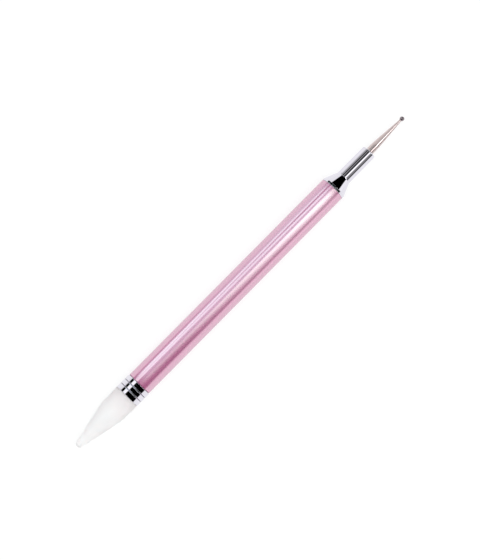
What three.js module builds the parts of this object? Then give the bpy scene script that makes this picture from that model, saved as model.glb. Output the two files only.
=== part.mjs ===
// A double-ended rhinestone picker: a wax nib on a screw-on head at one end of a slim barrel, and a ball
// stylus in a chromed ferrule at the other. Lengths are in millimetres. The pen lies on its side along X,
// wax nib towards -X and ball towards +X, with +Z up. The origin is on the surface that the pen lies on,
// under the middle of its length.

import * as THREE from "three";

// Barrel: an anodised aluminium tube. Places along the pen are measured from its wax end.
const barrelLength = 91.7;
const barrelDiameter = 9;
const barrelWall = 0.6;
const barrelEdgeChamfer = 0.08;

// Collar: the chromed ring that turns to free the head. It stands a little proud of the barrel.
const collarLength = 5.6;
const collarProud = 0.225;
const collarLip = 0.9;
const collarEdgeRound = 0.15;
const collarGrooveCount = 2;
const collarGrooveWidth = 0.45;
const collarGrooveDepth = 0.2;

// Nose: the threaded brass bush in the wax end of the tube. Its thread is drawn at its outer diameter.
const threadDiameter = 6.6;
const threadPitch = 0.75;
const threadDepthShare = 0.61;
const noseShankLength = 10;

// Core: the moulded peg that carries the wax. The collar's lip holds it by its flange.
const coreFlange = 1.1;
const coreNeckDiameter = 5;
const corePegDiameter = 4.2;
const corePegTipDiameter = 3.2;
const corePegLength = 12;
const corePegRound = 0.8;
const coreRibCount = 3;
const coreRibDiameter = 4.8;
const coreRibWidth = 0.8;
const coreTailDiameter = 3;
const coreTailLength = 4.4;
const coreTailChamfer = 0.3;

// Nib: the cast wax cone, with a blunt round tip and a soft shoulder.
const nibLength = 23.3;
const nibTipRadius = 1.23;
const nibBaseInset = 0.09;
const nibShoulderDiameter = 9.04;
const nibShoulderLength = 7.3;
const nibShoulderRadius = 25;
const nibEdgeRound = 0.12;

// Ferrule: the drawn and chromed shell at the ball end, with a rim, a cone, a sleeve and a hidden skirt.
const rimProud = 0.05;
const rimLength = 0.84;
const rimEdgeRound = 0.2;
const coneLength = 4.5;
const sleeveDiameter = 5.28;
const sleeveEndDiameter = 5.18;
const sleeveLength = 12.45;
const sleeveEndRound = 0.35;
const ferruleWall = 0.45;
const skirtLength = 7;

// Holder: the moulded plug that fills the ferrule and grips the stem.
const holderHeadLength = 3;
const holderChamfer = 0.3;

// Stem and ball: the steel stylus.
const stemDiameter = 2.8;
const stemStraightLength = 3.2;
const stemTaperLength = 12;
const stemTipDiameter = 0.8;
const stemHeldLength = 18;
const stemTailChamfer = 0.25;
const ballDiameter = 1.6;
const ballSocketDepth = 0.35;

// Clearances: pressed or glued joints, turning or sliding joints, and faces that meet.
const pressGap = 0.03;
const runGap = 0.05;
const seatGap = 0.02;

// Counts of flat sides. A side of each round piece faces straight down.
const barrelSides = 32;
const nibSides = 48;
const stemSides = 24;
const arcSteps = 4;
const ballSteps = 10;

// Places and radii that follow from the sizes above.
const barrelRadius = barrelDiameter / 2;
const boreRadius = barrelRadius - barrelWall;
const collarRadius = barrelRadius + collarProud;
const collarBack = -seatGap;
const collarFront = collarBack - collarLength;
const lipBack = collarFront + collarLip;
const threadRadius = threadDiameter / 2;
const threadDepth = threadPitch * threadDepthShare;
const flangeFront = lipBack + runGap;
const flangeBack = flangeFront + coreFlange;
const noseFront = flangeBack + seatGap;
const tailRadius = coreTailDiameter / 2;
const nibBase = collarFront - runGap;
const nibTip = nibBase - nibLength;
const nibRadius = collarRadius - nibBaseInset;
const rimBack = barrelLength + seatGap;
const rimFront = rimBack + rimLength;
const rimRadius = barrelRadius + rimProud;
const coneEnd = rimFront + coneLength;
const sleeveRadius = sleeveDiameter / 2;
const sleeveEndRadius = sleeveEndDiameter / 2;
const sleeveEnd = coneEnd + sleeveLength;
const skirtRadius = boreRadius - pressGap;
const skirtBack = rimBack - skirtLength;
const stemRadius = stemDiameter / 2;
const stemTipRadius = stemTipDiameter / 2;
const stemBack = sleeveEnd - stemHeldLength;
const taperStart = sleeveEnd + stemStraightLength;
const ballMouth = taperStart + stemTaperLength;
const ballRadius = ballDiameter / 2;
const socketRadius = stemTipRadius + pressGap;
const ballCentre = ballMouth + Math.sqrt(ballRadius ** 2 - socketRadius ** 2);
const ballEnd = ballCentre + ballRadius;

// Profiles are points (radius, place along the pen), in order, that go round the solid's half section.
const point = (radius, along) => new THREE.Vector2(radius, along);

// The points of an arc about (radius, along), between two angles measured from the radius direction.
function arc(radius, along, size, from, to, steps = arcSteps) {
  const curve = new THREE.EllipseCurve(radius, along, size, size, from, to, to < from);
  return curve.getPoints(steps);
}

// A round piece: the profile turned about the pen's axis, with a flat side facing down.
function roundPiece(name, profile, material, sides = barrelSides) {
  const geometry = new THREE.LatheGeometry(profile, sides, Math.PI / sides);
  const mesh = new THREE.Mesh(geometry, material);
  mesh.name = name;
  return mesh;
}

function finish(color, roughness, metalness) {
  return new THREE.MeshStandardMaterial({ color, roughness, metalness });
}

const anodisedPink = finish(0xd9a9c4, 0.32, 0.9);
const chrome = finish(0xe6e6ee, 0.06, 1);
const wax = finish(0xf5f3f4, 0.55, 0);
const brass = finish(0xc9a55c, 0.3, 1);
const moulding = finish(0xe9e6df, 0.5, 0);
const steel = finish(0xb9a9a6, 0.28, 1);
const darkSteel = finish(0x6c6668, 0.2, 1);

// The tube, with a small chamfer on each of its four edges.
function barrelTube() {
  const edge = barrelEdgeChamfer;
  const profile = [
    point(boreRadius + edge, 0),
    point(barrelRadius - edge, 0),
    point(barrelRadius, edge),
    point(barrelRadius, barrelLength - edge),
    point(barrelRadius - edge, barrelLength),
    point(boreRadius + edge, barrelLength),
    point(boreRadius, barrelLength - edge),
    point(boreRadius, edge),
    point(boreRadius + edge, 0),
  ];
  return roundPiece("barrel_tube", profile, anodisedPink);
}

// The brass bush: a plain shank held in the tube, a threaded nose with a lead at its end and a relief one
// thread wide at its root, and a bore that guides the core's tail.
function threadedNose() {
  const shankRadius = boreRadius - pressGap;
  const guideRadius = tailRadius + runGap;
  const rootRadius = threadRadius - threadDepth;
  const profile = [
    point(guideRadius, noseFront),
    point(rootRadius, noseFront),
    point(threadRadius, noseFront + threadDepth),
    point(threadRadius, -threadPitch),
    point(rootRadius, -threadPitch),
    point(rootRadius, seatGap),
    point(shankRadius, seatGap),
    point(shankRadius, noseShankLength),
    point(guideRadius, noseShankLength),
    point(guideRadius, noseFront),
  ];
  return roundPiece("threaded_nose", profile, brass);
}

// The collar: grooved outside, with a wide bore behind and a lip in front that holds the core's flange.
function gripCollar() {
  const boreWall = threadRadius + runGap;
  const lipWall = coreNeckDiameter / 2 + runGap;
  const outer = collarRadius - collarEdgeRound;
  const profile = [
    point(lipWall, collarFront),
    ...arc(outer, collarFront + collarEdgeRound, collarEdgeRound, -Math.PI / 2, 0, 2),
  ];
  for (let groove = 1; groove <= collarGrooveCount; groove += 1) {
    const middle = collarFront + (collarLength * groove) / (collarGrooveCount + 1);
    profile.push(
      point(collarRadius, middle - collarGrooveWidth / 2),
      point(collarRadius - collarGrooveDepth, middle),
      point(collarRadius, middle + collarGrooveWidth / 2),
    );
  }
  profile.push(
    ...arc(outer, collarBack - collarEdgeRound, collarEdgeRound, 0, Math.PI / 2, 2),
    point(boreWall, collarBack),
    point(boreWall, lipBack),
    point(lipWall, lipBack),
    point(lipWall, collarFront),
  );
  return roundPiece("grip_collar", profile, chrome);
}

// The outline of the core's peg inside the wax, from the nib's base to the peg's end on the axis. The
// wax is cast round it, so the nib's socket is the same outline with a gap.
function pegOutline(gap) {
  const neck = coreNeckDiameter / 2 + gap;
  const end = nibBase - corePegLength - gap;
  const baseRadius = corePegDiameter / 2;
  const endRadius = corePegTipDiameter / 2;
  const pegRadius = (along) =>
    endRadius + ((baseRadius - endRadius) * (along - (nibBase - corePegLength))) / corePegLength;
  const outline = [point(neck, nibBase), point(neck, nibBase - coreRibWidth - gap)];
  outline.push(point(pegRadius(nibBase - coreRibWidth) + gap, nibBase - coreRibWidth - gap));
  const ribStep = (corePegLength - coreRibWidth) / (coreRibCount + 1);
  for (let rib = 1; rib <= coreRibCount; rib += 1) {
    const back = nibBase - coreRibWidth / 2 - rib * ribStep + gap;
    const front = back - coreRibWidth - 2 * gap;
    outline.push(
      point(pegRadius(back) + gap, back),
      point(coreRibDiameter / 2 + gap, back),
      point(coreRibDiameter / 2 + gap, front),
      point(pegRadius(front) + gap, front),
    );
  }
  const corner = corePegRound + gap;
  outline.push(...arc(endRadius + gap - corner, end + corner, corner, 0, -Math.PI / 2, 3));
  outline.push(point(0, end));
  return outline;
}

// The core: tail, flange, neck and ribbed peg, all one moulding.
function waxCore() {
  const tailBack = noseFront + coreTailLength;
  const flangeRadius = threadRadius - runGap;
  const neckRadius = coreNeckDiameter / 2;
  const profile = [
    ...pegOutline(0).reverse(),
    point(neckRadius, flangeFront),
    point(flangeRadius, flangeFront),
    point(flangeRadius, flangeBack),
    point(tailRadius, flangeBack),
    point(tailRadius, tailBack - coreTailChamfer),
    point(tailRadius - coreTailChamfer, tailBack),
    point(0, tailBack),
  ];
  return roundPiece("wax_core", profile, moulding);
}

// The wax nib: a round tip, a straight cone that leaves it smoothly, and a shoulder that bends into the
// nearly straight base. Behind, a socket follows the core.
function waxNib() {
  const shoulderPlace = nibBase - nibShoulderLength;
  const shoulderSize = nibShoulderDiameter / 2;
  const tipCentre = nibTip + nibTipRadius;
  // The cone runs from the tip's sphere, which it touches, to the shoulder.
  const reach = Math.hypot(shoulderPlace - tipCentre, shoulderSize);
  const coneAngle = Math.atan2(shoulderSize, shoulderPlace - tipCentre) - Math.asin(nibTipRadius / reach);
  const baseAngle = Math.atan2(nibRadius - shoulderSize, nibShoulderLength);
  const bend = coneAngle - baseAngle;
  const tangent = nibShoulderRadius * Math.tan(bend / 2);
  const bendStart = point(
    shoulderSize - tangent * Math.sin(coneAngle),
    shoulderPlace - tangent * Math.cos(coneAngle),
  );
  const bendCentre = point(
    bendStart.x - nibShoulderRadius * Math.cos(coneAngle),
    bendStart.y + nibShoulderRadius * Math.sin(coneAngle),
  );
  const profile = [
    ...arc(0, tipCentre, nibTipRadius, -Math.PI / 2, -coneAngle, 6),
    ...arc(bendCentre.x, bendCentre.y, nibShoulderRadius, -coneAngle, -baseAngle, 6),
    ...arc(nibRadius - nibEdgeRound, nibBase - nibEdgeRound, nibEdgeRound, 0, Math.PI / 2, 2),
    ...pegOutline(pressGap),
  ];
  profile[0].x = 0;
  return roundPiece("wax_nib", profile, wax, nibSides);
}

// The slope of the ferrule's cone, and its inner line: the radius at a place, so much under the outside.
const coneSlope = (rimRadius - sleeveRadius) / coneLength;
const coneDepth = (under) => under * Math.hypot(1, coneSlope);
const placeOnCone = (radius, under) => rimFront + (rimRadius - coneDepth(under) - radius) / coneSlope;

// The ferrule: rim, cone and sleeve outside, the end turned in to the stem, and a skirt in the tube.
function ferruleShell() {
  const innerSkirt = skirtRadius - ferruleWall;
  const innerSleeve = sleeveRadius - ferruleWall;
  const innerEnd = sleeveEndRadius - ferruleWall;
  const stemHole = stemRadius + pressGap;
  const profile = [
    point(innerSkirt, skirtBack),
    point(skirtRadius, skirtBack),
    point(skirtRadius, rimBack),
    ...arc(rimRadius - rimEdgeRound, rimBack + rimEdgeRound, rimEdgeRound, -Math.PI / 2, 0, 2),
    point(rimRadius, rimFront),
    point(sleeveRadius, coneEnd),
    ...arc(sleeveEndRadius - sleeveEndRound, sleeveEnd - sleeveEndRound, sleeveEndRound, 0, Math.PI / 2),
    point(stemHole, sleeveEnd),
    point(stemHole, sleeveEnd - ferruleWall),
    point(innerEnd, sleeveEnd - ferruleWall),
    point(innerSleeve, placeOnCone(innerSleeve, ferruleWall)),
    point(innerSkirt, placeOnCone(innerSkirt, ferruleWall)),
    point(innerSkirt, skirtBack),
  ];
  return roundPiece("ferrule_shell", profile, chrome);
}

// The holder: a plug that follows the inside of the ferrule, with a head behind the skirt and a blind
// bore for the stem.
function stemHolder() {
  const under = ferruleWall + pressGap;
  const inSkirt = skirtRadius - under;
  const inSleeve = sleeveRadius - under;
  const inEnd = sleeveEndRadius - under;
  const headFront = skirtBack - seatGap;
  const headBack = headFront - holderHeadLength;
  const front = sleeveEnd - ferruleWall - seatGap;
  const stemBore = stemRadius + pressGap;
  const boreEnd = stemBack - seatGap;
  const profile = [
    point(0, headBack),
    point(skirtRadius - holderChamfer, headBack),
    point(skirtRadius, headBack + holderChamfer),
    point(skirtRadius, headFront),
    point(inSkirt, headFront),
    point(inSkirt, placeOnCone(inSkirt, under)),
    point(inSleeve, placeOnCone(inSleeve, under)),
    point(inEnd, front),
    point(stemBore, front),
    point(stemBore, boreEnd),
    point(0, boreEnd),
  ];
  return roundPiece("stem_holder", profile, moulding);
}

// The stem: a straight shank held in the holder, and a taper down to the ball.
function dottingStem() {
  const stemEnd = ballMouth + ballSocketDepth - seatGap;
  const profile = [
    point(0, stemBack),
    point(stemRadius - stemTailChamfer, stemBack),
    point(stemRadius, stemBack + stemTailChamfer),
    point(stemRadius, taperStart),
    point(stemTipRadius, ballMouth),
    point(stemTipRadius, stemEnd),
    point(0, stemEnd),
  ];
  return roundPiece("dotting_stem", profile, steel, stemSides);
}

// The ball, with a socket that takes the end of the stem.
function dottingBall() {
  const mouthAngle = -Math.acos(socketRadius / ballRadius);
  const socketEnd = ballMouth + ballSocketDepth;
  const profile = [
    point(0, socketEnd),
    point(socketRadius, socketEnd),
    ...arc(0, ballCentre, ballRadius, mouthAngle, Math.PI / 2, ballSteps),
  ];
  profile[profile.length - 1].x = 0;
  return roundPiece("dotting_ball", profile, darkSteel, stemSides);
}

// The head is what the collar draws on and off the nose. It stops at the last whole turn that leaves the
// thread's relief free.
const wholeTurns = Math.floor((-noseFront - threadPitch / 2) / threadPitch);
const head = new THREE.Group();
head.userData = { turns: wholeTurns, travel: wholeTurns * threadPitch };
head.add(waxNib(), waxCore(), gripCollar());

// The pieces are turned about Y, so the pen is laid over to run along X, at the height at which the
// collar's lowest side rests on the surface.
const axisHeight = collarRadius * Math.cos(Math.PI / barrelSides);
const pen = new THREE.Group();
pen.add(head, threadedNose(), barrelTube(), ferruleShell(), stemHolder(), dottingStem(), dottingBall());
pen.rotation.z = -Math.PI / 2;
pen.position.set(-(nibTip + ballEnd) / 2, 0, axisHeight);

const rhinestonePicker = new THREE.Group();
rhinestonePicker.add(pen);

export default rhinestonePicker;
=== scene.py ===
"""A double-ended rhinestone picker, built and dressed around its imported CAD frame.

The pen lies on its side along X, with the wax nib towards -X, the ball towards +X and +Z up. Lengths are in
metres. Each sub-assembly is a class: it holds the sizes that the frame doesn't give, turns its pieces about
the pen's axis, and puts each piece's finish on it.
"""

import logging
import math
from dataclasses import dataclass
from enum import Enum
from typing import Sequence, TypeAlias

import bmesh
import bpy
from mathutils import Matrix, Vector


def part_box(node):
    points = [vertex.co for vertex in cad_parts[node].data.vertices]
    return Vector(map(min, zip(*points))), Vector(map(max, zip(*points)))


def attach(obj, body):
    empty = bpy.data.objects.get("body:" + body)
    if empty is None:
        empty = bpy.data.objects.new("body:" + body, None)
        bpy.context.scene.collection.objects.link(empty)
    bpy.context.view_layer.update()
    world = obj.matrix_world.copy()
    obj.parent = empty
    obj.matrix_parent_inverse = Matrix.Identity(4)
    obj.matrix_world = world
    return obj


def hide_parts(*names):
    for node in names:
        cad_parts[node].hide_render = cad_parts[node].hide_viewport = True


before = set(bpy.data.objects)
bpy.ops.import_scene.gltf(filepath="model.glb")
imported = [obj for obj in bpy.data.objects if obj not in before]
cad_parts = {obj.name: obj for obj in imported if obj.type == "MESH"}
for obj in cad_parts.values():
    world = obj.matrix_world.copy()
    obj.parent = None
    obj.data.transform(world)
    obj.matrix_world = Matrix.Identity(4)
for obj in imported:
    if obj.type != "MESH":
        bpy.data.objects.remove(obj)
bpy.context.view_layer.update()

MM = 0.001
MERGE_DISTANCE = 0.0001 * MM
SHARP_ANGLE = math.radians(32)
SUPPORT = 0.02 * MM
NOSE_PITCH = 0.75 * MM
RIDGE_SINK = 0.05 * MM
log = logging.getLogger("picker")


class Body(Enum):
    """The bodies of the frame that pieces ride on."""

    BARREL = "barrel"
    HEAD = "head"
    COLLAR = "collar"


class Slot(Enum):
    """Names for the pen's material slots."""

    WAX = "cast_wax"
    MOULDING = "plastic_moulding"
    CHROME = "chrome_trim"
    BRASS = "turned_brass"
    ANODISED = "anodised_barrel"
    STEM = "stem_steel"
    BALL = "ball_steel"


class Sides(Enum):
    """How many sides the frame's round nodes have."""

    BARREL = 32
    NIB = 48
    STEM = 24


@dataclass(frozen=True)
class Span:
    """Where a round node of the frame lies.

    Attributes:
        start: its end towards the wax nib, along X.
        end: its end towards the ball, along X.
        radius: its largest radius.
        height: the height of the pen's axis.
    """

    start: float
    end: float
    radius: float
    height: float

    @classmethod
    def of(cls, node: str, sides: Sides = Sides.BARREL) -> "Span":
        """Measures a node of the frame.

        Args:
            node: the node's name.
            sides: how many sides the node has, which says how far its corners lie outside its flats.

        Returns:
            The node's place and radius.
        """
        low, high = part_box(node)
        flat = (high.z - low.z) / 2
        radius = flat / math.cos(math.pi / sides.value)
        return cls(start=low.x, end=high.x, radius=radius, height=low.z + flat)


@dataclass(frozen=True)
class Corner:
    """One corner of a turned outline.

    Attributes:
        along: its place along X.
        radius: its distance from the pen's axis.
        reach: how far from the corner, along both its lines, the rounding starts.
        steps: how many segments the rounding has.
    """

    along: float
    radius: float
    reach: float = 0.0
    steps: int = 4


class Lathe:
    """Turns outlines into finished round pieces."""

    def __init__(self, height: float, sides: int = 128) -> None:
        """Sets the height of the axis that pieces turn about and the number of their sides."""
        self.height = height
        self.sides = sides

    def turn(self, name: str, corners: Sequence[Corner]) -> bpy.types.Object:
        """Turns an outline about the pen's axis.

        Args:
            name: the new piece's name.
            corners: the outline's corners in order. It closes on itself unless both ends lie on the axis.

        Returns:
            The piece, a closed solid whose faces point outwards.
        """
        solid = bmesh.new()
        points = [solid.verts.new((corner.along, 0.0, corner.radius)) for corner in corners]
        lines = list(zip(points, points[1:], corners, corners[1:]))
        if corners[0].radius or corners[-1].radius:
            lines.append((points[-1], points[0], corners[-1], corners[0]))
        for first, second, near, far in lines:
            self.draw_line(solid, first, second, near.reach, far.reach)
        for corner, vertex in zip(corners, points):
            if corner.reach:
                bmesh.ops.bevel(
                    solid, geom=[vertex], offset=corner.reach, offset_type="OFFSET", segments=corner.steps,
                    profile=0.5, affect="VERTICES", material=-1, clamp_overlap=False,
                )
        return self.revolve(name, solid)

    def revolve(self, name: str, solid: bmesh.types.BMesh) -> bpy.types.Object:
        """Turns a drawn outline full circle and finishes it.

        Args:
            name: the new piece's name.
            solid: the outline's vertices and edges.

        Returns:
            The piece.
        """
        bmesh.ops.spin(
            solid, geom=solid.verts[:] + solid.edges[:], cent=(0, 0, 0), axis=(1, 0, 0), dvec=(0, 0, 0),
            angle=math.tau, steps=self.sides, use_merge=True,
        )
        return self.finish_solid(name, solid)

    def draw_line(
        self, solid: bmesh.types.BMesh, first: bmesh.types.BMVert, second: bmesh.types.BMVert,
        near: float, far: float,
    ) -> None:
        """Draws one line of an outline, with a point close to each rounding that keeps its shading flat.

        Args:
            solid: the outline.
            first: the line's first corner.
            second: its second corner.
            near: how far the first corner's rounding reaches along the line.
            far: how far the second corner's rounding reaches.
        """
        length = (second.co - first.co).length
        stops = [first]
        if length - near - far > 4 * SUPPORT:
            for place in (near + SUPPORT, length - far - SUPPORT):
                stops.append(solid.verts.new(first.co.lerp(second.co, place / length)))
        stops.append(second)
        for start, end in zip(stops, stops[1:]):
            solid.edges.new((start, end))

    def finish_solid(self, name: str, solid: bmesh.types.BMesh) -> bpy.types.Object:
        """Merges a turned shape's doubles, points its faces outwards and lifts it to the pen's axis.

        Args:
            name: the new piece's name.
            solid: the shape, about the X axis.

        Returns:
            The piece, with smooth faces and sharp edges where it bends hard.
        """
        bmesh.ops.remove_doubles(solid, verts=solid.verts, dist=MERGE_DISTANCE)
        bmesh.ops.holes_fill(solid, edges=solid.edges, sides=0)
        bmesh.ops.recalc_face_normals(solid, faces=solid.faces)
        if solid.calc_volume(signed=True) < 0:
            bmesh.ops.reverse_faces(solid, faces=solid.faces)
        bmesh.ops.translate(solid, verts=solid.verts, vec=(0, 0, self.height))
        mesh = bpy.data.meshes.new(name)
        solid.to_mesh(mesh)
        solid.free()
        piece = bpy.data.objects.new(name, mesh)
        bpy.context.scene.collection.objects.link(piece)
        self.smooth(piece)
        return piece

    def smooth(self, piece: bpy.types.Object) -> None:
        """Shades a piece smoothly, and leaves its hard edges sharp."""
        piece.data.shade_smooth()
        piece.data.set_sharp_from_angle(angle=SHARP_ANGLE)

    def fuse(self, piece: bpy.types.Object, ridge: bpy.types.Object) -> bpy.types.Object:
        """Joins a ridge to a piece as one solid.

        Args:
            piece: the piece, whose mesh is replaced.
            ridge: the ridge, which is used up.

        Returns:
            The piece.
        """
        union = piece.modifiers.new("union", "BOOLEAN")
        union.operation = "UNION"
        union.solver = "MANIFOLD"
        union.object = ridge
        graph = bpy.context.evaluated_depsgraph_get()
        joined = bpy.data.meshes.new_from_object(piece.evaluated_get(graph))
        joined.materials.clear()
        piece.modifiers.clear()
        piece.data = joined
        bpy.data.objects.remove(ridge)
        self.smooth(piece)
        return piece


@dataclass(frozen=True)
class Thread:
    """A right-hand screw thread whose ridge tapers in and out at its ends.

    Attributes:
        pitch: how far it climbs in a turn.
        foot: the radius at which its ridge is widest.
        crest: the radius at which its ridge is narrowest.
        foot_width: the ridge's width at its foot.
        crest_width: the ridge's width at its crest.
        turns: how many turns it makes.
        steps: how many segments a turn has.
    """

    pitch: float
    foot: float
    crest: float
    foot_width: float
    crest_width: float
    turns: int
    steps: int = 72

    def ridge(self, lathe: Lathe, start: float) -> bpy.types.Object:
        """Winds the ridge as a closed solid of its own.

        Args:
            lathe: the lathe whose axis the thread winds about.
            start: where the middle of the ridge begins, along X.

        Returns:
            The ridge.
        """
        solid = bmesh.new()
        rim = (
            (start - self.foot_width / 2, self.foot),
            (start - self.crest_width / 2, self.crest),
            (start + self.crest_width / 2, self.crest),
            (start + self.foot_width / 2, self.foot),
        )
        points = [solid.verts.new((along, 0.0, radius)) for along, radius in rim]
        for first, second in zip(points, points[1:] + points[:1]):
            solid.edges.new((first, second))
        bmesh.ops.spin(
            solid, geom=solid.verts[:] + solid.edges[:], cent=(0, 0, 0), axis=(1, 0, 0),
            dvec=(self.pitch / self.steps, 0, 0), angle=math.tau * self.turns, steps=self.turns * self.steps,
        )
        bmesh.ops.holes_fill(solid, edges=solid.edges, sides=len(rim))
        self.run_out(solid, start)
        return lathe.finish_solid("ridge", solid)

    def run_out(self, solid: bmesh.types.BMesh, start: float) -> None:
        """Lowers the ridge's crest into its foot over the first and the last half turn.

        Args:
            solid: the wound ridge.
            start: where the middle of the ridge begins, along X.
        """
        length = self.pitch * self.turns
        for vertex in solid.verts:
            radius = math.hypot(vertex.co.y, vertex.co.z)
            place = vertex.co.x - start
            share = min(place, length - place) / (self.pitch / 2)
            share = max(0.0, min(1.0, share))
            lowered = self.foot + (radius - self.foot) * share
            vertex.co.y *= lowered / radius
            vertex.co.z *= lowered / radius


Socket: TypeAlias = bpy.types.NodeSocket
Value: TypeAlias = float | tuple[float, ...] | Socket


class Wiring:
    """A node tree that is written node by node."""

    def __init__(self, tree: bpy.types.NodeTree) -> None:
        """Takes over a node tree and empties it."""
        self.tree = tree
        self.tree.nodes.clear()

    def add(
        self, kind: str, inputs: dict[str | int, Value] | None = None, **settings: object,
    ) -> bpy.types.Node:
        """Adds a node.

        Args:
            kind: the node's type, without its ShaderNode.
            inputs: a value or another node's output for each input that is set.
            settings: the node's own settings.

        Returns:
            The node.
        """
        node = self.tree.nodes.new(f"ShaderNode{kind}")
        for key, setting in settings.items():
            setattr(node, key, setting)
        for key, value in (inputs or {}).items():
            if isinstance(value, Socket):
                self.tree.links.new(value, node.inputs[key])
            else:
                node.inputs[key].default_value = value
        return node

    def math(self, operation: str, *values: Value, clamp: bool = False) -> Socket:
        """Adds a Math node.

        Args:
            operation: what it works out.
            values: its inputs, in order.
            clamp: whether the result is held between 0 and 1.

        Returns:
            Its output.
        """
        return self.add("Math", dict(enumerate(values)), operation=operation, use_clamp=clamp).outputs[0]

    def ramp(self, source: Socket, stops: Sequence[tuple[float, tuple[float, ...]]]) -> Socket:
        """Adds a colour ramp.

        Args:
            source: what the ramp reads, from 0 to 1.
            stops: each stop's place and its colour.

        Returns:
            The ramp's colour.
        """
        node = self.add("ValToRGB", {0: source})
        elements = node.color_ramp.elements
        while len(elements) < len(stops):
            elements.new(1.0)
        for element, (place, color) in zip(elements, stops):
            element.position = place
            element.color = (*color, 1.0)
        return node.outputs[0]

    def mix(self, share: Value, first: Value, second: Value) -> Socket:
        """Mixes two colours.

        Args:
            share: how much of the second colour there is.
            first: the first colour.
            second: the second colour.

        Returns:
            The mixed colour.
        """
        return self.add("Mix", {0: share, 6: first, 7: second}, data_type="RGBA").outputs[2]

    def noise(
        self, size: float, stretch: tuple[float, float, float] = (1, 1, 1), detail: float = 3.0,
    ) -> Socket:
        """Adds a noise on the piece's own coordinates.

        Args:
            size: the width of its patches.
            stretch: how much longer they are along each axis.
            detail: how many finer layers it has.

        Returns:
            The noise, from 0 to 1.
        """
        place = self.add("TexCoord").outputs["Object"]
        scale = tuple(1 / (size * longer) for longer in stretch)
        mapping = self.add("Mapping", {"Vector": place, "Scale": scale})
        texture = self.add("TexNoise", {"Vector": mapping.outputs[0], "Scale": 1.0, "Detail": detail})
        return texture.outputs[0]

    def spread(self, source: Socket, low: float, high: float) -> Socket:
        """Maps a value from 0..1 to low..high."""
        return self.add("MapRange", {0: source, 3: low, 4: high}).outputs[0]

    def bump(self, source: Socket, depth: float) -> Socket:
        """Turns a height from 0 to 1 into a normal, where 1 stands so deep."""
        return self.add("Bump", {"Height": source, "Distance": depth, "Strength": 1.0}).outputs[0]


Shade: TypeAlias = tuple[float, float, float, float]


@dataclass(frozen=True)
class Finish:
    """What all finishes share: a name and the way that a piece gets it."""

    name: str

    def wire(self, wiring: Wiring) -> Socket:
        """Writes the finish's nodes and returns the shader."""
        raise NotImplementedError

    def material(self) -> bpy.types.Material:
        """Makes the finish's material."""
        material = bpy.data.materials.new(self.name)
        material.use_nodes = True
        wiring = Wiring(material.node_tree)
        wiring.add("OutputMaterial", {"Surface": self.wire(wiring)})
        return material


@dataclass(frozen=True)
class CastWax(Finish):
    """Cloudy translucent wax, with shade painted into its colour where it meets the collar.

    Attributes:
        pale: its colour where it is clearest.
        cloudy: its colour where it is cloudiest.
        shaded: its colour against the collar, a painted shade.
        base: where the collar begins, along X.
        fade: how far from there the painted shade reaches.
    """

    pale: Shade
    cloudy: Shade
    shaded: Shade
    base: float
    fade: float

    def wire(self, wiring: Wiring) -> Socket:
        """Writes the finish's nodes and returns the shader."""
        clouds = wiring.noise(3.2 * MM, (2.0, 1.0, 1.0))
        body = wiring.mix(clouds, self.pale, self.cloudy)
        # Painted shade: the wax is darkened by its place towards the collar, not by any light.
        place = wiring.add("SeparateXYZ", {0: wiring.add("TexCoord").outputs["Object"]}).outputs[0]
        collar_shade_share = wiring.add("MapRange", {0: place, 1: self.base - self.fade, 2: self.base}).outputs[0]
        color = wiring.mix(wiring.math("POWER", collar_shade_share, 1.6), body, self.shaded)
        grain = wiring.noise(0.35 * MM, detail=5.0)
        ripples = wiring.noise(2.4 * MM, (1.0, 1.0, 1.0), 1.0)
        height = wiring.math("MULTIPLY_ADD", ripples, 3.0, grain)
        return wiring.add("BsdfPrincipled", {
            "Base Color": color,
            "Roughness": wiring.spread(grain, 0.26, 0.40),
            "IOR": 1.44,
            "Subsurface Weight": 0.75,
            "Subsurface Radius": (1.0, 0.93, 0.92),
            "Subsurface Scale": 1.6 * MM,
            "Normal": wiring.bump(height, 0.006 * MM),
        }).outputs[0]


@dataclass(frozen=True)
class SatinAnodised(Finish):
    """Satin anodised aluminium: a dyed, faintly milky metal with fine lines drawn along the tube.

    Attributes:
        dye: the colour of the metal.
        deep: its colour in the drawn lines.
        metallic: how far the surface mirrors rather than scatters.
        roughness: how far its reflections blur.
    """

    dye: Shade
    deep: Shade
    metallic: float
    roughness: float

    def wire(self, wiring: Wiring) -> Socket:
        """Writes the finish's nodes and returns the shader."""
        lines = wiring.noise(0.07 * MM, (120.0, 1.0, 1.0), 2.0)
        blush = wiring.noise(6.0 * MM, (3.0, 1.0, 1.0), 2.0)
        grain = wiring.noise(0.05 * MM, detail=2.0)
        drawn = wiring.mix(wiring.spread(lines, 0.0, 0.5), self.dye, self.deep)
        color = wiring.mix(wiring.spread(blush, 0.0, 0.35), drawn, self.deep)
        spread = wiring.spread(lines, self.roughness - 0.01, self.roughness + 0.01)
        height = wiring.math("ADD", lines, grain)
        return wiring.add("BsdfPrincipled", {
            "Base Color": color,
            "Metallic": self.metallic,
            "Roughness": spread,
            "Coat Weight": 1.0,
            "Coat Roughness": 0.05,
            "Coat IOR": 3.8,
            "Normal": wiring.bump(height, 0.00004 * MM),
        }).outputs[0]


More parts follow.
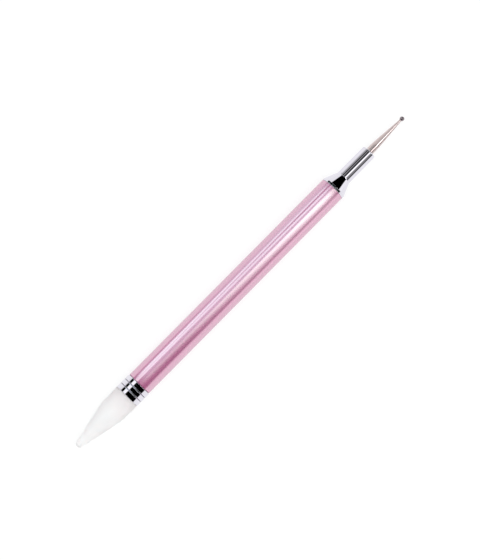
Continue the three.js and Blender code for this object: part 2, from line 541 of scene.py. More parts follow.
@dataclass(frozen=True)
class Plating(Finish):
    """Bright chrome plating, with faint smears in its gloss.

    Attributes:
        color: the plating's colour.
        clean: its roughness where it is clean.
        smeared: its roughness where it has been handled.
    """

    color: Shade
    clean: float
    smeared: float

    def tint(self, wiring: Wiring, color: Socket) -> Socket:
        """Leaves the plating's colour as it is."""
        return color

    def wire(self, wiring: Wiring) -> Socket:
        """Writes the finish's nodes and returns the shader."""
        smears = wiring.noise(2.6 * MM, (2.2, 1.0, 1.0), 4.0)
        polish = wiring.noise(0.12 * MM, (0.3, 2.0, 2.0), 2.0)
        dull = tuple(0.95 * channel for channel in self.color[:3]) + (1.0,)
        return wiring.add("BsdfPrincipled", {
            "Base Color": self.tint(wiring, wiring.mix(smears, self.color, dull)),
            "Metallic": 1.0,
            "Roughness": wiring.spread(smears, self.clean, self.smeared),
            "Normal": wiring.bump(polish, 0.00003 * MM),
        }).outputs[0]


@dataclass(frozen=True)
class GroovedPlating(Plating):
    """Bright chrome plating with shade painted dark into the bottoms of its grooves.

    Attributes:
        dark: the painted shade at the bottom of the grooves.
        height: the height of the axis that the piece is round about.
        inside: a radius inside the piece's wall, under which no shade is painted.
        bottom: the radius at which the painted shade ends.
    """

    # The colour of the painted shade in the groove bottoms.
    dark: Shade = (0.02, 0.02, 0.03, 1.0)
    height: float = 0.0
    inside: float = 0.0
    bottom: float = 0.0

    def tint(self, wiring: Wiring, color: Socket) -> Socket:
        """Paints shade into the bottoms of the grooves."""
        place = wiring.add("TexCoord").outputs["Object"]
        spoke = wiring.add("Mapping", {"Vector": place, "Location": (0, 0, -self.height), "Scale": (0, 1, 1)})
        radius = wiring.add("VectorMath", {0: spoke.outputs[0]}, operation="LENGTH").outputs["Value"]
        # Painted shade mask: the radii between inside and bottom, at the grooves' bottoms.
        under = wiring.math("LESS_THAN", radius, self.bottom)
        over = wiring.math("GREATER_THAN", radius, self.inside)
        return wiring.mix(wiring.math("MULTIPLY", under, over), color, self.dark)


@dataclass(frozen=True)
class TurnedMetal(Finish):
    """Bare metal with the fine rings that a turning or grinding tool leaves.

    Attributes:
        color: the metal's colour on the ridges of the rings.
        dark: its colour between them.
        ring: the width of the rings.
        depth: their depth.
        roughness: how far its reflections blur.
        metallic: how far the surface mirrors rather than scatters.
    """

    color: Shade
    dark: Shade
    ring: float
    depth: float
    roughness: float
    metallic: float = 1.0

    def wire(self, wiring: Wiring) -> Socket:
        """Writes the finish's nodes and returns the shader."""
        rings = wiring.noise(self.ring, (1.0, 60.0, 60.0), 3.0)
        stain = wiring.noise(1.8 * MM, detail=3.0)
        color = wiring.mix(wiring.spread(rings, 0.1, 0.7), self.color, self.dark)
        return wiring.add("BsdfPrincipled", {
            "Base Color": wiring.mix(wiring.spread(stain, 0.0, 0.5), color, self.dark),
            "Metallic": self.metallic,
            "Roughness": wiring.spread(stain, self.roughness - 0.04, self.roughness + 0.06),
            "Normal": wiring.bump(rings, self.depth),
        }).outputs[0]


@dataclass(frozen=True)
class Moulding(Finish):
    """Moulded plastic with a fine spark-eroded grain.

    Attributes:
        color: the plastic's colour.
        shade: its colour in the hollows of the grain.
    """

    color: Shade
    shade: Shade

    def wire(self, wiring: Wiring) -> Socket:
        """Writes the finish's nodes and returns the shader."""
        grain = wiring.noise(0.09 * MM, detail=3.0)
        flow = wiring.noise(2.0 * MM, (4.0, 1.0, 1.0), 2.0)
        color = wiring.mix(wiring.math("MULTIPLY", grain, flow), self.color, self.shade)
        return wiring.add("BsdfPrincipled", {
            "Base Color": color,
            "Roughness": wiring.spread(grain, 0.40, 0.55),
            "IOR": 1.49,
            "Subsurface Weight": 0.15,
            "Subsurface Scale": 0.5 * MM,
            "Normal": wiring.bump(grain, 0.002 * MM),
        }).outputs[0]


CHROME = Plating("chrome plating", (0.79, 0.77, 0.84, 1.0), 0.01, 0.025)
MOULDED = Moulding("ivory moulding", (0.82, 0.80, 0.76, 1.0), (0.70, 0.67, 0.62, 1.0))
PINK = SatinAnodised("satin pink anodising", (0.635, 0.17, 0.37, 1.0), (0.615, 0.16, 0.36, 1.0), 0.25, 0.42)
BRASS = TurnedMetal(
    "turned brass", (0.76, 0.57, 0.27, 1.0), (0.62, 0.43, 0.18, 1.0), 0.05 * MM, 0.001 * MM, 0.26,
)
STEEL = TurnedMetal(
    "warm ground steel", (0.76, 0.64, 0.63, 1.0), (0.62, 0.52, 0.51, 1.0), 0.04 * MM, 0.0002 * MM, 0.11, 0.85,
)
BALL = TurnedMetal(
    "dark polished steel", (0.36, 0.30, 0.32, 1.0), (0.26, 0.22, 0.24, 1.0), 0.05 * MM, 0.00005 * MM, 0.05,
)


def dress(piece: bpy.types.Object, finish: Finish, body: Body, node: str) -> None:
    """Puts a finished piece in its node's place.

    Args:
        piece: the piece, in its place at rest.
        finish: the piece's finish.
        body: the body that the piece moves with.
        node: the CAD node that it stands for.
    """
    piece.data.materials.append(finish.material())
    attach(piece, body.value)
    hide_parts(node)
    log.info("%s: %d faces, moves with %s", piece.name, len(piece.data.polygons), body.value)


@dataclass(frozen=True)
class WaxHead:
    """The screw-on head: the wax nib, the core that it is cast on, and the collar that holds the core.

    Attributes:
        lathe: the lathe that turns the pieces.
        tip_round: the radius of the nib's tip.
        shoulder_radius: the nib's radius where its cone and its base would meet.
        shoulder_length: how far that place lies from the nib's base.
        shoulder_bend: the radius of the bend there.
        nib_edge: the rounding of the nib's back edge.
        cast_gap: the gap between the wax and the core.
        neck_radius: the core's neck in the collar's lip.
        peg_radius: the peg at its root.
        peg_end_radius: the peg at its end.
        peg_length: the peg's length in the wax.
        peg_round: the rounding of the peg's end.
        peg_edge: the rounding of its other corners, and of its ribs'.
        ribs: how many ribs anchor the wax.
        rib_radius: the ribs' radius.
        rib_width: the ribs' width, and that of the neck's step in the wax.
        flange_radius: the core's flange in the collar.
        flange_length: its length.
        tail_radius: the tail that the nose guides.
        tail_edge: the chamfer of the tail's end.
        core_edge: the rounding of the core's other corners.
        face_gap: the gap between faces that turn against each other.
        collar_lip: the length of the collar's lip.
        collar_bore: the collar's bore behind the lip.
        lip_bore: the bore of the lip.
        bore_edge: the rounding of the corners of both bores.
        mouth_edge: the rounding of the bore's mouth.
        collar_round: the rounding of the collar's outer edges.
        grooves: how many grooves part the collar's bands.
        groove_width: their width at the surface.
        groove_depth: their depth.
        groove_edge: the rounding of their edges.
        groove_round: the rounding of their bottoms.
        unshaded_share: the share of that depth, from the surface, that is left free of painted shade.
        thread_crest: the radius that the collar's thread reaches in to.
        ridge_foot: the width of the thread's ridge at its foot.
        ridge_crest: its width at its crest.
        thread_turns: how many turns the thread makes.
        thread_start: how far from the collar's back end it begins, in pitches.
        painted_shade_length: how much of the nib's base gets painted shade next to the collar.
    """

    lathe: Lathe
    tip_round: float = 1.23 * MM
    shoulder_radius: float = 4.52 * MM
    shoulder_length: float = 7.3 * MM
    shoulder_bend: float = 25 * MM
    nib_edge: float = 0.12 * MM
    cast_gap: float = 0.03 * MM
    neck_radius: float = 2.5 * MM
    peg_radius: float = 2.1 * MM
    peg_end_radius: float = 1.6 * MM
    peg_length: float = 12 * MM
    peg_round: float = 0.8 * MM
    peg_edge: float = 0.1 * MM
    ribs: int = 3
    rib_radius: float = 2.4 * MM
    rib_width: float = 0.8 * MM
    flange_radius: float = 3.25 * MM
    flange_length: float = 1.1 * MM
    tail_radius: float = 1.5 * MM
    tail_edge: float = 0.3 * MM
    core_edge: float = 0.06 * MM
    face_gap: float = 0.05 * MM
    collar_lip: float = 0.9 * MM
    collar_bore: float = 3.35 * MM
    lip_bore: float = 2.55 * MM
    bore_edge: float = 0.05 * MM
    mouth_edge: float = 0.08 * MM
    collar_round: float = 0.07 * MM
    grooves: int = 2
    groove_width: float = 0.4 * MM
    groove_depth: float = 0.2 * MM
    groove_edge: float = 0.03 * MM
    groove_round: float = 0.07 * MM
    unshaded_share: float = 0.55
    thread_crest: float = 2.95 * MM
    ridge_foot: float = 0.58 * MM
    ridge_crest: float = 0.10 * MM
    thread_turns: int = 2
    thread_start: float = 2.6
    painted_shade_length: float = 9 * MM

    def peg(self, gap: float) -> list[Corner]:
        """Draws the peg's outline in the wax, from the nib's base to the peg's end on the axis.

        Args:
            gap: how far the outline stands off the peg.

        Returns:
            The outline's corners.
        """
        base = Span.of("wax_nib", Sides.NIB).end

        def width(along: float) -> float:
            """The tapered peg's radius at a place."""
            share = (base - along) / self.peg_length
            return self.peg_radius + (self.peg_end_radius - self.peg_radius) * share + gap

        step_end = base - self.rib_width - gap
        corners = [
            Corner(base, self.neck_radius + gap),
            Corner(step_end, self.neck_radius + gap, self.peg_edge),
            Corner(step_end, width(step_end), self.peg_edge),
        ]
        spacing = (self.peg_length - self.rib_width) / (self.ribs + 1)
        for rib in range(1, self.ribs + 1):
            back = base - self.rib_width / 2 - rib * spacing + gap
            front = back - self.rib_width - 2 * gap
            corners += [
                Corner(back, width(back), self.peg_edge),
                Corner(back, self.rib_radius + gap, self.peg_edge),
                Corner(front, self.rib_radius + gap, self.peg_edge),
                Corner(front, width(front), self.peg_edge),
            ]
        end = base - self.peg_length - gap
        corners += [Corner(end, width(end), self.peg_round, 8), Corner(end, 0.0)]
        return corners

    def nib(self) -> bpy.types.Object:
        """Turns the wax nib: a round tip, a cone, a soft shoulder, and a socket that follows the peg."""
        span = Span.of("wax_nib", Sides.NIB)
        shoulder = span.end - self.shoulder_length
        tip_centre = span.start + self.tip_round
        reach = math.hypot(shoulder - tip_centre, self.shoulder_radius)
        slope = math.atan2(self.shoulder_radius, shoulder - tip_centre) - math.asin(self.tip_round / reach)
        flare = math.atan2(span.radius - self.shoulder_radius, self.shoulder_length)
        tip_reach = self.tip_round * math.tan((math.pi / 2 - slope) / 2)
        bend_reach = self.shoulder_bend * math.tan((slope - flare) / 2)
        corners = [
            Corner(span.start, 0.0),
            Corner(span.start, tip_reach, tip_reach, 18),
            Corner(shoulder, self.shoulder_radius, bend_reach, 18),
            Corner(span.end, span.radius, self.nib_edge, 6),
        ]
        return self.lathe.turn("nib", corners + self.peg(self.cast_gap))

    def core(self) -> bpy.types.Object:
        """Turns the core: ribbed peg, neck, flange and tail."""
        span = Span.of("wax_core")
        edge = self.core_edge
        flange_front = Span.of("grip_collar").start + self.collar_lip + self.face_gap
        flange_back = flange_front + self.flange_length
        outline = list(reversed(self.peg(0.0)))[:-1] + [
            Corner(flange_front, self.neck_radius, edge),
            Corner(flange_front, self.flange_radius, edge),
            Corner(flange_back, self.flange_radius, edge),
            Corner(flange_back, self.tail_radius, edge),
            Corner(span.end, self.tail_radius, self.tail_edge, 3),
            Corner(span.end, 0.0),
        ]
        return self.lathe.turn("core", outline)

    def collar(self) -> bpy.types.Object:
        """Turns the collar: two grooves outside, and a threaded bore behind a lip inside."""
        span = Span.of("grip_collar")
        lip_back = span.start + self.collar_lip
        outline = [
            Corner(span.start, self.lip_bore, self.bore_edge),
            Corner(span.start, span.radius, self.collar_round, 6),
        ]
        for groove in range(1, self.grooves + 1):
            middle = span.start + (span.end - span.start) * groove / (self.grooves + 1)
            outline += [
                Corner(middle - self.groove_width / 2, span.radius, self.groove_edge),
                Corner(middle, span.radius - self.groove_depth, self.groove_round, 6),
                Corner(middle + self.groove_width / 2, span.radius, self.groove_edge),
            ]
        outline += [
            Corner(span.end, span.radius, self.collar_round, 6),
            Corner(span.end, self.collar_bore, self.mouth_edge, 3),
            Corner(lip_back, self.collar_bore, self.bore_edge),
            Corner(lip_back, self.lip_bore, self.bore_edge),
        ]
        piece = self.lathe.turn("collar", outline)
        thread = Thread(
            pitch=NOSE_PITCH, foot=self.collar_bore + RIDGE_SINK, crest=self.thread_crest,
            foot_width=self.ridge_foot, crest_width=self.ridge_crest, turns=self.thread_turns,
        )
        ridge = thread.ridge(self.lathe, span.end - self.thread_start * NOSE_PITCH)
        return self.lathe.fuse(piece, ridge)

    def build(self) -> None:
        """Builds and dresses the head's pieces."""
        base = Span.of("wax_nib", Sides.NIB).end
        # The third colour is painted shade, laid on the nib's base next to the collar.
        wax = CastWax(
            "cast wax", (0.95, 0.93, 0.93, 1.0), (0.91, 0.885, 0.89, 1.0), (0.82, 0.77, 0.78, 1.0),
            base, self.painted_shade_length,
        )
        dress(self.nib(), wax, Body.HEAD, "wax_nib")
        dress(self.core(), MOULDED, Body.HEAD, "wax_core")
        collar = Span.of("grip_collar")
        # The collar's plating gets painted shade at the bottoms of its grooves.
        grooved = GroovedPlating(
            "grooved chrome plating", CHROME.color, CHROME.clean, CHROME.smeared, height=collar.height,
            inside=collar.radius - 2 * self.groove_depth,
            bottom=collar.radius - self.unshaded_share * self.groove_depth,
        )
        dress(self.collar(), grooved, Body.COLLAR, "grip_collar")


@dataclass(frozen=True)
class Barrel:
    """The barrel: the anodised tube and the brass nose in its wax end.

    Attributes:
        lathe: the lathe that turns the pieces.
        wall: the tube's wall.
        edge: the rounding of the tube's edges.
        mouth_chamfer: the chamfer of its front edge, next to the collar.
        shank_radius: the nose's shank in the tube.
        guide_radius: the bore that guides the core's tail.
        root_radius: the root of the nose's thread.
        crest_radius: its crest.
        ridge_foot: the width of the thread's ridge at its foot.
        ridge_crest: its width at its crest.
        thread_start: how far from the nose's front end the thread begins, in pitches.
        relief: the plain stretch between the thread and the tube.
        seat: the gap between the shank and the tube's end.
        guide_edge: the rounding of the guide's mouth.
        front_edge: the rounding of the nose's front edge.
        nose_edge: the rounding of its other edges.
    """

    lathe: Lathe
    wall: float = 0.6 * MM
    edge: float = 0.08 * MM
    mouth_chamfer: float = 0.2 * MM
    shank_radius: float = 3.87 * MM
    guide_radius: float = 1.55 * MM
    root_radius: float = 2.8425 * MM
    crest_radius: float = 3.3 * MM
    ridge_foot: float = 0.70 * MM
    ridge_crest: float = 0.10 * MM
    thread_start: float = 0.4
    relief: float = 0.75 * MM
    seat: float = 0.02 * MM
    guide_edge: float = 0.15 * MM
    front_edge: float = 0.1 * MM
    nose_edge: float = 0.06 * MM

    def tube(self) -> bpy.types.Object:
        """Turns the tube."""
        span = Span.of("barrel_tube")
        bore = span.radius - self.wall
        return self.lathe.turn("tube", [
            Corner(span.start, bore, self.edge),
            Corner(span.start, span.radius, self.mouth_chamfer, 1),
            Corner(span.end, span.radius, self.edge),
            Corner(span.end, bore, self.edge),
        ])

    def nose(self) -> bpy.types.Object:
        """Turns the nose and cuts its thread."""
        span = Span.of("threaded_nose")
        mouth = Span.of("barrel_tube").start
        shoulder = mouth + self.seat
        piece = self.lathe.turn("nose", [
            Corner(span.start, self.guide_radius, self.guide_edge, 2),
            Corner(span.start, self.root_radius, self.front_edge, 2),
            Corner(shoulder, self.root_radius, self.nose_edge),
            Corner(shoulder, self.shank_radius, self.nose_edge),
            Corner(span.end, self.shank_radius, self.nose_edge),
            Corner(span.end, self.guide_radius, self.nose_edge),
        ])
        length = mouth - self.relief - span.start
        turns = int((length - NOSE_PITCH / 2) / NOSE_PITCH)
        thread = Thread(
            pitch=NOSE_PITCH, foot=self.root_radius - RIDGE_SINK, crest=self.crest_radius,
            foot_width=self.ridge_foot, crest_width=self.ridge_crest, turns=turns,
        )
        ridge = thread.ridge(self.lathe, span.start + self.thread_start * NOSE_PITCH)
        return self.lathe.fuse(piece, ridge)

    def build(self) -> None:
        """Builds and dresses the barrel's pieces."""
        dress(self.tube(), PINK, Body.BARREL, "barrel_tube")
        dress(self.nose(), BRASS, Body.BARREL, "threaded_nose")


@dataclass(frozen=True)
class BallEnd:
    """The ball end: the ferrule, the holder inside it, and the stem with its ball.

    Attributes:
        lathe: the lathe that turns the pieces.
        rim_length: the ferrule's rim against the tube.
        rim_round: the rounding of the rim's back edge.
        rim_bend: the rounding between the rim and the cone.
        cone_length: the length of the cone in front of the rim.
        cone_bend: the rounding between the cone and the sleeve.
        sleeve_radius: the sleeve where it leaves the cone.
        sleeve_end_radius: the sleeve at its end.
        end_round: the rounding of the sleeve's end.
        shell: the ferrule's wall.
        shell_edge: the rounding of its other corners, and of the holder's.
        skirt_radius: the hidden skirt in the tube.
        press_gap: the gap of pressed and glued joints.
        seat_gap: the gap of faces that meet.
        head_length: the holder's head behind the skirt.
        head_edge: the chamfer of that head.
        stem_radius: the stem's shank.
        stem_straight: how far the shank stands out of the ferrule.
        stem_draft: how much slimmer the shank is at the end of that stretch.
        stem_edge: the rounding of the shank's hidden end.
        taper_bend: the rounding where the taper begins.
        stem_tip: the stem's radius at the ball.
        mouth_bend: the rounding where the taper meets the ball.
        tip_edge: the rounding of the tip's end.
        socket_depth: how deep the stem sits in the ball.
        fillet: the reach of the brazed fillet round the stem at the ball.
        fillet_width: how far the fillet stands out from the socket where it meets the ball.
        fillet_hollow: its share of that width at half its reach.
        ball_steps: how many segments the ball's arc has.
    """

    lathe: Lathe
    rim_length: float = 0.84 * MM
    rim_round: float = 0.07 * MM
    rim_bend: float = 0.02 * MM
    cone_length: float = 4.5 * MM
    cone_bend: float = 0.16 * MM
    sleeve_radius: float = 2.64 * MM
    sleeve_end_radius: float = 2.59 * MM
    end_round: float = 0.35 * MM
    shell: float = 0.45 * MM
    shell_edge: float = 0.08 * MM
    skirt_radius: float = 3.87 * MM
    press_gap: float = 0.03 * MM
    seat_gap: float = 0.02 * MM
    head_length: float = 3 * MM
    head_edge: float = 0.3 * MM
    stem_radius: float = 1.4 * MM
    stem_straight: float = 3.2 * MM
    stem_draft: float = 0.04 * MM
    stem_edge: float = 0.25 * MM
    taper_bend: float = 0.6 * MM
    stem_tip: float = 0.4 * MM
    mouth_bend: float = 0.1 * MM
    tip_edge: float = 0.03 * MM
    socket_depth: float = 0.35 * MM
    fillet: float = 0.25 * MM
    fillet_width: float = 0.1 * MM
    fillet_hollow: float = 0.25
    ball_steps: int = 40

    def cone_place(self, radius: float, under: float) -> float:
        """Finds where a line under the cone has a radius.

        Args:
            radius: the radius.
            under: how far the line lies under the cone's outside.

        Returns:
            The place along X.
        """
        rim = Span.of("ferrule_shell")
        slope = (rim.radius - self.sleeve_radius) / self.cone_length
        rim_front = Span.of("barrel_tube").end + self.seat_gap + self.rim_length
        return rim_front + (rim.radius - under * math.hypot(1, slope) - radius) / slope

    def ferrule(self) -> bpy.types.Object:
        """Turns the ferrule: skirt, rim, cone and sleeve, hollow, and turned in to the stem at its end."""
        span = Span.of("ferrule_shell")
        rim_back = Span.of("barrel_tube").end + self.seat_gap
        rim_front = rim_back + self.rim_length
        cone_end = rim_front + self.cone_length
        hole = self.stem_radius + self.press_gap
        skirt_bore = self.skirt_radius - self.shell
        sleeve_bore = self.sleeve_radius - self.shell
        inner_end = span.end - self.shell
        edge = self.shell_edge
        return self.lathe.turn("ferrule", [
            Corner(span.start, skirt_bore, edge),
            Corner(span.start, self.skirt_radius, edge),
            Corner(rim_back, self.skirt_radius, edge),
            Corner(rim_back, span.radius, self.rim_round, 8),
            Corner(rim_front, span.radius, self.rim_bend),
            Corner(cone_end, self.sleeve_radius, self.cone_bend, 6),
            Corner(span.end, self.sleeve_end_radius, self.end_round, 10),
            Corner(span.end, hole, edge),
            Corner(inner_end, hole, edge),
            Corner(inner_end, self.sleeve_end_radius - self.shell, edge),
            Corner(self.cone_place(sleeve_bore, self.shell), sleeve_bore, edge),
            Corner(self.cone_place(skirt_bore, self.shell), skirt_bore, edge),
        ])

    def holder(self) -> bpy.types.Object:
        """Turns the holder: it fills the ferrule, stops behind its skirt and grips the stem."""
        span = Span.of("stem_holder")
        shell = Span.of("ferrule_shell")
        under = self.shell + self.press_gap
        in_skirt = self.skirt_radius - under
        in_sleeve = self.sleeve_radius - under
        bore = self.stem_radius + self.press_gap
        bore_end = Span.of("dotting_stem", Sides.STEM).start - self.seat_gap
        head_front = shell.start - self.seat_gap
        edge = self.shell_edge
        return self.lathe.turn("holder", [
            Corner(span.start, 0.0),
            Corner(span.start, self.skirt_radius, self.head_edge, 4),
            Corner(head_front, self.skirt_radius, edge),
            Corner(head_front, in_skirt, edge),
            Corner(self.cone_place(in_skirt, under), in_skirt, edge),
            Corner(self.cone_place(in_sleeve, under), in_sleeve, edge),
            Corner(span.end, self.sleeve_end_radius - under, edge),
            Corner(span.end, bore, edge),
            Corner(bore_end, bore),
            Corner(bore_end, 0.0),
        ])

    def stem(self) -> bpy.types.Object:
        """Turns the stem: a straight shank and a taper to the ball."""
        span = Span.of("dotting_stem", Sides.STEM)
        taper = Span.of("ferrule_shell").end + self.stem_straight
        mouth = span.end + self.seat_gap - self.socket_depth
        return self.lathe.turn("stem", [
            Corner(span.start, 0.0),
            Corner(span.start, self.stem_radius, self.stem_edge, 4),
            Corner(taper - self.stem_straight, self.stem_radius),
            Corner(taper, self.stem_radius - self.stem_draft, self.taper_bend, 8),
            Corner(mouth, self.stem_tip, self.mouth_bend),
            Corner(span.end, self.stem_tip, self.tip_edge),
            Corner(span.end, 0.0),
        ])

    def ball(self) -> bpy.types.Object:
        """Turns the ball: an arc from the mouth of its socket round to the front, and the brazed socket."""
        span = Span.of("dotting_ball", Sides.STEM)
        stem = Span.of("dotting_stem", Sides.STEM)
        centre = span.end - span.radius
        socket = self.stem_tip + self.press_gap
        socket_end = stem.end + self.seat_gap
        mouth_radius = socket + self.fillet_width
        mouth_turn = math.asin(mouth_radius / span.radius)
        mouth = centre - span.radius * math.cos(mouth_turn)
        solid = bmesh.new()
        lip = solid.verts.new((mouth, 0.0, mouth_radius))
        bmesh.ops.spin(
            solid, geom=[lip], cent=(centre, 0, 0), axis=(0, 1, 0), dvec=(0, 0, 0),
            angle=math.pi - mouth_turn, steps=self.ball_steps,
        )
        outline = [
            Corner(mouth, mouth_radius),
            Corner(mouth - self.fillet / 2, socket + self.fillet_width * self.fillet_hollow),
            Corner(mouth - self.fillet, socket),
            Corner(socket_end, socket),
            Corner(socket_end, 0.0),
        ]
        points = [lip] + [solid.verts.new((corner.along, 0.0, corner.radius)) for corner in outline[1:]]
        for first, second in zip(points, points[1:]):
            solid.edges.new((first, second))
        return self.lathe.revolve("ball", solid)

    def build(self) -> None:
        """Builds and dresses the ball end's pieces."""
        dress(self.ferrule(), CHROME, Body.BARREL, "ferrule_shell")
        dress(self.holder(), MOULDED, Body.BARREL, "stem_holder")
        dress(self.stem(), STEEL, Body.BARREL, "dotting_stem")
        dress(self.ball(), BALL, Body.BARREL, "dotting_ball")


Tint: TypeAlias = tuple[float, float, float]

WHITE: Tint = (1.0, 1.0, 1.0)
COOL: Tint = (0.89, 1.03, 1.07)
WARM: Tint = (0.90, 1.02, 0.95)
ROSY: Tint = (1.14, 1.0, 1.07)


@dataclass(frozen=True)
class Zone:
    """A stretch of the surroundings: the directions whose share along X is over a value.

    Attributes:
        start: where the zone starts to fade in.
        fade: over how much it fades in.
        bands: its bands of light: the angle from overhead in degrees, towards -Y, and the brightness there.
        far_tint: the colour of the light high up on the far side, towards +Y.
        near_tint: the colour of the light high up on the near side, towards -Y.
        low_tint: the colour of the light low down and underneath.
        high: the angle from overhead under which the light counts as high up.
    """

    start: float
    fade: float
    bands: tuple[tuple[float, float], ...]
    far_tint: Tint = WHITE
    near_tint: Tint = WHITE
    low_tint: Tint = WHITE
    high: float = 68.0

    def tint(self, angle: float) -> Tint:
        """Picks the light's colour at an angle from overhead."""
        if abs(angle) > self.high:
            return self.low_tint
        return self.near_tint if angle > 0 else self.far_tint


OVER_WAX = (
    (-180, 1.0), (-80, 1.0), (-60, 0.4), (-36, 0.3), (-30, 1.8), (-3, 1.8), (4, 0.3), (60, 0.3), (80, 1.0),
    (180, 1.0),
)
OVER_BARREL = (
    (-180, 1.0), (-84, 1.0), (-76, 0.5), (-69, 0.35), (-62, 1.0), (-56, 1.8), (-50, 2.05), (-41, 1.4),
    (-33, 2.05), (-27, 1.5), (-20, 0.8), (-10, 0.65), (0, 0.82), (10, 0.9), (15, 0.7), (25, 0.36), (36, 0.17),
    (42, 0.09), (54, 0.06), (62, 0.22), (70, 0.75), (78, 0.98), (180, 1.05),
)
OVER_COLLAR = (
    (-180, 0.93), (-74.5, 0.93), (-73, 0.0), (-51.5, 0.0), (-50, 1.22), (-25, 1.22), (-23.5, 0.0),
    (71.5, 0.0), (73, 1.0), (180, 1.0),
)
OVER_BALL_END = (
    (-180, 1.05), (-66, 1.0), (-58, 1.5), (-51, 1.8), (-45, 0.7), (-40, 0.1), (-35, 0.8), (-26, 2.1),
    (-18, 1.3), (-11, 0.7), (-5, 1.0), (0, 1.9), (5, 2.8), (16, 2.7), (26, 2.0), (38, 1.4), (48, 0.9),
    (57, 0.4), (64, 0.45), (73, 0.95), (82, 1.15), (180, 1.05),
)
OVER_TUBE_END = (
    (-180, 1.05), (-66, 0.9), (-58, 1.4), (-51, 1.8), (-45, 0.8), (-40, 0.2), (-35, 0.7), (-26, 2.0),
    (-18, 1.5), (-11, 0.8), (-5, 1.1), (0, 1.9), (5, 2.5), (12, 2.8), (20, 2.7), (26, 2.4), (34, 1.8),
    (42, 1.3), (50, 0.8), (58, 0.5), (66, 0.6), (75, 1.0), (84, 1.15), (180, 1.05),
)
OVER_RIM = ((-180, 1.0), (-84, 1.0), (-76, 0.0), (62, 0.0), (70, 1.0), (180, 1.0))
OVER_SLEEVE = (
    (-180, 1.0), (-73, 1.0), (-69, 0.95), (-62, 0.5), (-56, 0.4), (-47, 0.45), (-41, 0.15), (-37, 0.0),
    (-29, 0.0), (-25, 0.4), (-17, 0.3), (-13, 0.0), (5, 0.0), (9.5, 1.4), (25, 1.4), (29, 0.5), (40, 0.3),
    (55, 0.22), (60, 0.05), (70, 0.05), (75, 0.8), (81, 1.05), (180, 1.0),
)
OVER_SHANK = (
    (-180, 1.1), (-106, 1.0), (-84, 0.9), (-49, 0.66), (-25, 0.5), (-12, 0.2), (10, 0.05), (18, 0.3),
    (22, 2.4), (50, 2.4), (56, 0.3), (64, 0.05), (82, 0.05), (95, 0.45), (120, 0.9), (180, 1.1),
)
OVER_STEM = (
    (-180, 1.0), (-90, 0.9), (-30, 0.7), (4, 0.5), (12, 0.2), (18, 0.2), (21, 3.4), (43, 3.4), (47, 0.2),
    (72, 0.2), (90, 0.7), (180, 0.9),
)
ALONG = ((-180, 1.0), (-62, 1.0), (-55, 0.0), (54, 0.0), (61, 1.1), (100, 1.1), (120, 1.0), (180, 1.0))
PAST_THE_ENDS = (
    (-180, 0.8), (-90, 0.3), (-74, 0.3), (-64, 1.6), (0, 1.6), (8, 0.0), (66, 0.0), (85, 0.3), (180, 0.8),
)
ZONES = (
    Zone(-1.0, 0.0, PAST_THE_ENDS),
    Zone(-0.95, 0.05, ALONG),
    Zone(-0.60, 0.15, OVER_WAX),
    Zone(-0.06, 0.01, OVER_BARREL, COOL, WARM, ROSY),
    Zone(-0.019, 0.001, OVER_COLLAR),
    Zone(0.0005, 0.001, OVER_BARREL, COOL, WARM, ROSY),
    Zone(0.025, 0.11, OVER_BALL_END, COOL, WARM, ROSY),
    Zone(0.128, 0.015, OVER_TUBE_END, COOL, WARM, ROSY),
    Zone(0.1495, 0.001, OVER_RIM),
    Zone(0.165, 0.001, OVER_SLEEVE),
    Zone(0.193, 0.004, OVER_SHANK),
    Zone(0.25, 0.02, OVER_STEM),
    Zone(0.42, 0.06, ALONG),
    Zone(0.90, 0.05, PAST_THE_ENDS),
)


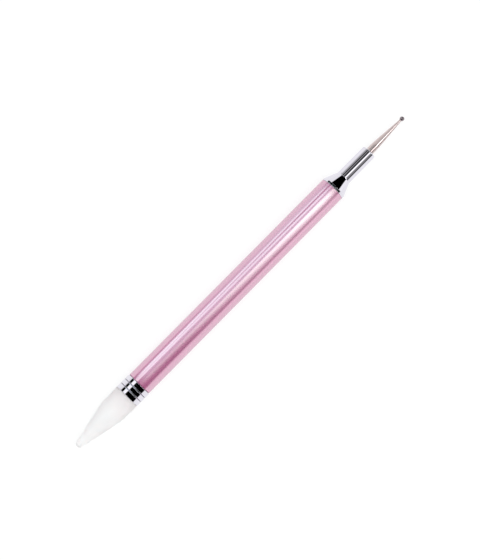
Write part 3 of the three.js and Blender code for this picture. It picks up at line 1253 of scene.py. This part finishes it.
@dataclass(frozen=True)
class Studio:
    """The stage: a white floor, panels of light round the pen, one soft lamp and the camera.

    Attributes:
        height: the height of the pen's axis.
        floor_level: the height of the floor.
        distance: the camera's distance.
        lean: how far the camera leans towards the wax nib, off straight overhead.
        roll: how far the pen runs up to the right in the picture.
        lens: the camera's focal length, for the sensor's height.
        sensor: the sensor's height.
        nearest: how close to the camera things still show.
        sight: the place, in X and Y, that the camera looks at.
        brightest: the brightest light that the surroundings' ramps can hold.
        lamp_size: the lamp's width.
        lamp_energy: its power in watts.
        lamp_place: where it hangs.
        floor_size: how far the floor reaches each way.
        floor_shade: how much light the floor gives back to the pen.
        floor_glow: how bright it looks by itself.
        floor_shadow: how much of the light on it it shows, which draws the shadow.
    """

    height: float
    floor_level: float
    distance: float = 600 * MM
    lean: float = math.radians(4.5)
    roll: float = math.radians(45.25)
    lens: float = 115.7
    sensor: float = 36.0
    nearest: float = 10 * MM
    sight: tuple[float, float] = (-0.42 * MM, 0.52 * MM)
    brightest: float = 6.0
    lamp_size: float = 700 * MM
    lamp_energy: float = 2.98
    lamp_place: tuple[float, float, float] = (-20 * MM, -100 * MM, 750 * MM)
    floor_size: float = 1500 * MM
    floor_shade: float = 0.8
    floor_glow: float = 0.78
    floor_shadow: float = 0.25

    def camera(self) -> None:
        """Sets the camera at the photograph's viewing angle."""
        towards = Vector((-math.sin(self.lean), 0.0, math.cos(self.lean)))
        along = Vector((1.0, 0.0, 0.0))
        along = (along - along.dot(towards) * towards).normalized()
        across = towards.cross(along)
        right = math.cos(self.roll) * along - math.sin(self.roll) * across
        up = math.sin(self.roll) * along + math.cos(self.roll) * across
        place = Vector((*self.sight, self.height)) + self.distance * towards
        data = bpy.data.cameras.new("camera")
        data.sensor_fit = "VERTICAL"
        data.sensor_height = self.sensor
        data.lens = self.lens
        data.clip_start = self.nearest
        camera = bpy.data.objects.new("camera", data)
        turned = Matrix((right, up, towards)).transposed().to_4x4()
        camera.matrix_world = Matrix.Translation(place) @ turned
        bpy.context.scene.collection.objects.link(camera)
        bpy.context.scene.camera = camera

    def ring_of_light(self, wiring: Wiring, turn: Socket, zone: Zone) -> Socket:
        """Writes the light of the surroundings round the pen in one zone.

        Args:
            wiring: the world's nodes.
            turn: the direction's angle round the pen, from 0 to 1, with overhead in the middle.
            zone: the zone.

        Returns:
            The light's colour, as a share of the brightest light.
        """
        stops = [
            ((angle + 180) / 360, tuple(light * channel / self.brightest for channel in zone.tint(angle)))
            for angle, light in zone.bands
        ]
        return wiring.ramp(turn, stops)

    def surroundings(self) -> None:
        """Lights the world with soft panels round the pen, and shows it white to the camera."""
        world = bpy.data.worlds.new("studio")
        bpy.context.scene.world = world
        world.use_nodes = True
        wiring = Wiring(world.node_tree)
        direction = wiring.add("SeparateXYZ", {0: wiring.add("TexCoord").outputs["Generated"]})
        side = wiring.math("MULTIPLY", direction.outputs[1], -1.0)
        angle = wiring.math("ARCTAN2", side, direction.outputs[2])
        turn = wiring.math("MULTIPLY_ADD", angle, 1 / math.tau, 0.5)
        light = self.ring_of_light(wiring, turn, ZONES[0])
        for zone in ZONES[1:]:
            share = wiring.add(
                "MapRange", {0: direction.outputs[0], 1: zone.start, 2: zone.start + zone.fade},
            )
            light = wiring.mix(share.outputs[0], light, self.ring_of_light(wiring, turn, zone))
        glow = wiring.add("Background", {"Color": light, "Strength": self.brightest})
        white = wiring.add("Background", {"Color": (1.0, 1.0, 1.0, 1.0), "Strength": 1.0})
        seen = wiring.add("LightPath").outputs["Is Camera Ray"]
        both = wiring.add("MixShader", {0: seen, 1: glow.outputs[0], 2: white.outputs[0]})
        wiring.add("OutputWorld", {"Surface": both.outputs[0]})

    def lamp(self) -> None:
        """Hangs one large soft lamp overhead, which metal doesn't mirror."""
        data = bpy.data.lights.new("lamp", "AREA")
        data.shape = "DISK"
        data.size = self.lamp_size
        data.energy = self.lamp_energy
        lamp = bpy.data.objects.new("lamp", data)
        lamp.location = self.lamp_place
        lamp.rotation_euler = (-lamp.location).to_track_quat("-Z", "Y").to_euler()
        lamp.visible_glossy = False
        bpy.context.scene.collection.objects.link(lamp)

    def floor(self) -> None:
        """Lays the white floor, which keeps the pen's faint shadow."""
        shape = bmesh.new()
        bmesh.ops.create_grid(shape, x_segments=1, y_segments=1, size=self.floor_size)
        bmesh.ops.translate(shape, verts=shape.verts, vec=(0, 0, self.floor_level))
        mesh = bpy.data.meshes.new("floor")
        shape.to_mesh(mesh)
        shape.free()
        floor = bpy.data.objects.new("floor", mesh)
        bpy.context.scene.collection.objects.link(floor)
        material = bpy.data.materials.new("pale floor")
        material.use_nodes = True
        wiring = Wiring(material.node_tree)
        path = wiring.add("LightPath")
        seen = wiring.math("ADD", path.outputs["Is Camera Ray"], path.outputs["Is Glossy Ray"])
        seen = wiring.math("ADD", seen, path.outputs["Is Transmission Ray"], clamp=True)
        plain = wiring.add("BsdfDiffuse", {"Color": (self.floor_shade,) * 3 + (1.0,)})
        glow = wiring.add("Emission", {"Color": (1.0, 1.0, 1.0, 1.0), "Strength": self.floor_glow})
        shaded = wiring.add("BsdfDiffuse", {"Color": (self.floor_shadow,) * 3 + (1.0,)})
        shown = wiring.add("AddShader", {0: glow.outputs[0], 1: shaded.outputs[0]})
        both = wiring.add("MixShader", {0: seen, 1: plain.outputs[0], 2: shown.outputs[0]})
        wiring.add("OutputMaterial", {"Surface": both.outputs[0]})
        floor.data.materials.append(material)

    def build(self) -> None:
        """Builds the stage."""
        self.camera()
        self.surroundings()
        self.lamp()
        self.floor()
        bpy.context.scene.view_settings.view_transform = "Standard"


def main() -> None:
    """Builds the pen and its stage."""
    logging.basicConfig(level=logging.INFO, format="%(message)s")
    collar = Span.of("grip_collar")
    lathe = Lathe(collar.height)
    for assembly in (WaxHead(lathe), Barrel(lathe), BallEnd(lathe)):
        log.info("building %s", type(assembly).__name__)
        assembly.build()
    Studio(height=collar.height, floor_level=collar.height - collar.radius).build()


if __name__ == "__main__":
    main()
